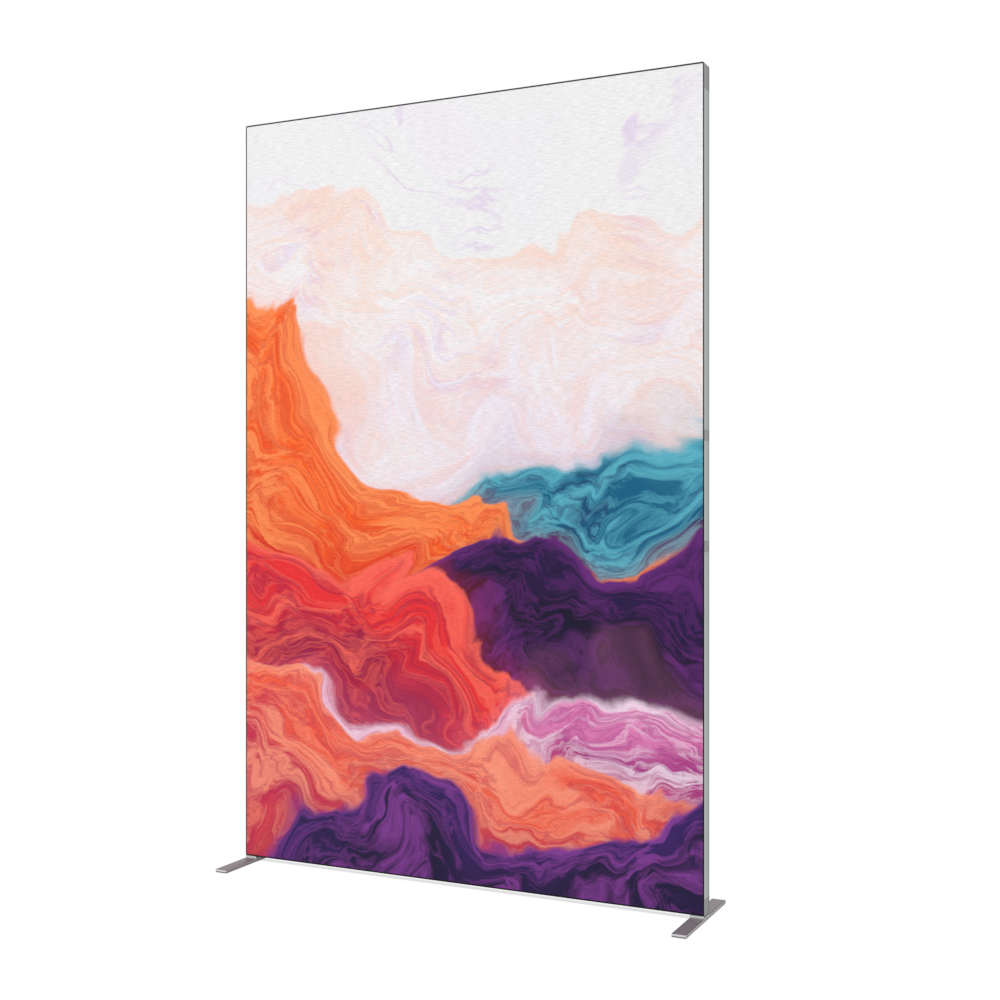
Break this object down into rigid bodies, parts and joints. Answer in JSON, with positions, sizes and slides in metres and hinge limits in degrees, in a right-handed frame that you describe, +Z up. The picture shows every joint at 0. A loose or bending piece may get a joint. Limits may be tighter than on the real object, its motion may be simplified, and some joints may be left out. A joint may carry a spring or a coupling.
{
  "type": "frame display wall",
  "caption": "Free-standing display wall: a stretched printed cloth in a slim plug-together aluminium frame on two flat bar feet.",
  "frame": {"origin": "on the floor, midway between the two feet and under the middle of the frame's depth", "axes": "+Z up; the cloth faces -Y; +X is to the right for someone facing the cloth"},
  "size_m": [1.5, 0.356, 2.3163],
  "materials": {
    "anodised_profile": "satin silver anodised, faint drawing lines along the length",
    "corner_plastic": "moulded grey, fine grain",
    "joiner_plastic": "moulded grey, fine grain",
    "spring_steel": "bright rolled steel",
    "printed_cloth": null,
    "silicone_strip": "translucent white, dull",
    "coated_steel": "semi-gloss grey powder coat",
    "pale_spacer": "pale grey, satin",
    "zinc_bolt": "zinc plated",
    "brass_insert": "turned",
    "rubber_pad": "matt black"
  },
  "bodies": {
    "frame": {"upright_right_lower": "anodised_profile", "upright_right_middle": "anodised_profile", "upright_right_upper": "anodised_profile", "upright_left_lower": "anodised_profile", "upright_left_middle": "anodised_profile", "upright_left_upper": "anodised_profile", "rail_top_right": "anodised_profile", "rail_top_left": "anodised_profile", "rail_bottom_left": "anodised_profile", "rail_bottom_right": "anodised_profile", "crossbar_right": "anodised_profile", "crossbar_left": "anodised_profile", "crossbar_sleeve": "anodised_profile", "corner_bottom_right": "corner_plastic", "corner_bottom_left": "corner_plastic", "corner_top_right": "corner_plastic", "corner_top_left": "corner_plastic", "joiner_right_lower": "joiner_plastic", "joiner_right_upper": "joiner_plastic", "joiner_left_lower": "joiner_plastic", "joiner_left_upper": "joiner_plastic", "joiner_top": "joiner_plastic", "joiner_bottom": "joiner_plastic", "crossbar_bracket_right": "joiner_plastic", "crossbar_bracket_left": "joiner_plastic", "cloth_front": "printed_cloth", "silicone_strip_right": "silicone_strip", "silicone_strip_left": "silicone_strip", "silicone_strip_top": "silicone_strip", "silicone_strip_bottom": "silicone_strip", "foot_spacer_left": "pale_spacer", "foot_spacer_right": "pale_spacer", "foot_bolt_left": "zinc_bolt", "foot_bolt_right": "zinc_bolt", "foot_insert_left": "brass_insert", "foot_insert_right": "brass_insert"},
    "left_foot": {"foot_left": "coated_steel", "foot_pad_left_front": "rubber_pad", "foot_pad_left_back": "rubber_pad"},
    "right_foot": {"foot_right": "coated_steel", "foot_pad_right_front": "rubber_pad", "foot_pad_right_back": "rubber_pad"},
    "button_right_lower": {"snap_button_right_lower": "spring_steel"},
    "button_right_upper": {"snap_button_right_upper": "spring_steel"},
    "button_left_lower": {"snap_button_left_lower": "spring_steel"},
    "button_left_upper": {"snap_button_left_upper": "spring_steel"},
    "button_top": {"snap_button_top": "spring_steel"},
    "button_bottom": {"snap_button_bottom": "spring_steel"},
    "button_bottom_right": {"snap_button_bottom_right": "spring_steel"},
    "button_bottom_left": {"snap_button_bottom_left": "spring_steel"},
    "button_top_right": {"snap_button_top_right": "spring_steel"},
    "button_top_left": {"snap_button_top_left": "spring_steel"}
  },
  "joints": [
    {"name": "left_foot_swivel", "type": "hinge", "parent": "frame", "child": "left_foot", "pos_m": [-0.73, 0, 0.001], "axis": [0, 0, 1], "range_deg": [-90, 90]},
    {"name": "right_foot_swivel", "type": "hinge", "parent": "frame", "child": "right_foot", "pos_m": [0.73, 0, 0.001], "axis": [0, 0, 1], "range_deg": [-90, 90]},
    {"name": "press_right_lower", "type": "hinge", "parent": "frame", "child": "button_right_lower", "pos_m": [0.7246, 0, 1.0306], "axis": [0, 1, 0], "range_deg": [0, 6.5], "stiffness_Nm_per_rad": 4},
    {"name": "press_right_upper", "type": "hinge", "parent": "frame", "child": "button_right_upper", "pos_m": [0.7246, 0, 1.3306], "axis": [0, 1, 0], "range_deg": [0, 6.5], "stiffness_Nm_per_rad": 4},
    {"name": "press_left_lower", "type": "hinge", "parent": "frame", "child": "button_left_lower", "pos_m": [-0.7246, 0, 1.0306], "axis": [0, -1, 0], "range_deg": [0, 6.5], "stiffness_Nm_per_rad": 4},
    {"name": "press_left_upper", "type": "hinge", "parent": "frame", "child": "button_left_upper", "pos_m": [-0.7246, 0, 1.3306], "axis": [0, -1, 0], "range_deg": [0, 6.5], "stiffness_Nm_per_rad": 4},
    {"name": "press_top", "type": "hinge", "parent": "frame", "child": "button_top", "pos_m": [-0.0193, 0, 2.2909], "axis": [0, 1, 0], "range_deg": [0, 6.5], "stiffness_Nm_per_rad": 4},
    {"name": "press_bottom", "type": "hinge", "parent": "frame", "child": "button_bottom", "pos_m": [0.0193, 0, 0.0417], "axis": [0, 1, 0], "range_deg": [0, 6.5], "stiffness_Nm_per_rad": 4},
    {"name": "press_bottom_right", "type": "hinge", "parent": "frame", "child": "button_bottom_right", "pos_m": [0.7246, 0, 0.0646], "axis": [0, 1, 0], "range_deg": [0, 6.5], "stiffness_Nm_per_rad": 4},
    {"name": "press_bottom_left", "type": "hinge", "parent": "frame", "child": "button_bottom_left", "pos_m": [-0.7246, 0, 0.0646], "axis": [0, -1, 0], "range_deg": [0, 6.5], "stiffness_Nm_per_rad": 4},
    {"name": "press_top_right", "type": "hinge", "parent": "frame", "child": "button_top_right", "pos_m": [0.7246, 0, 2.242], "axis": [0, -1, 0], "range_deg": [0, 6.5], "stiffness_Nm_per_rad": 4},
    {"name": "press_top_left", "type": "hinge", "parent": "frame", "child": "button_top_left", "pos_m": [-0.7246, 0, 2.242], "axis": [0, 1, 0], "range_deg": [0, 6.5], "stiffness_Nm_per_rad": 4}
  ]
}
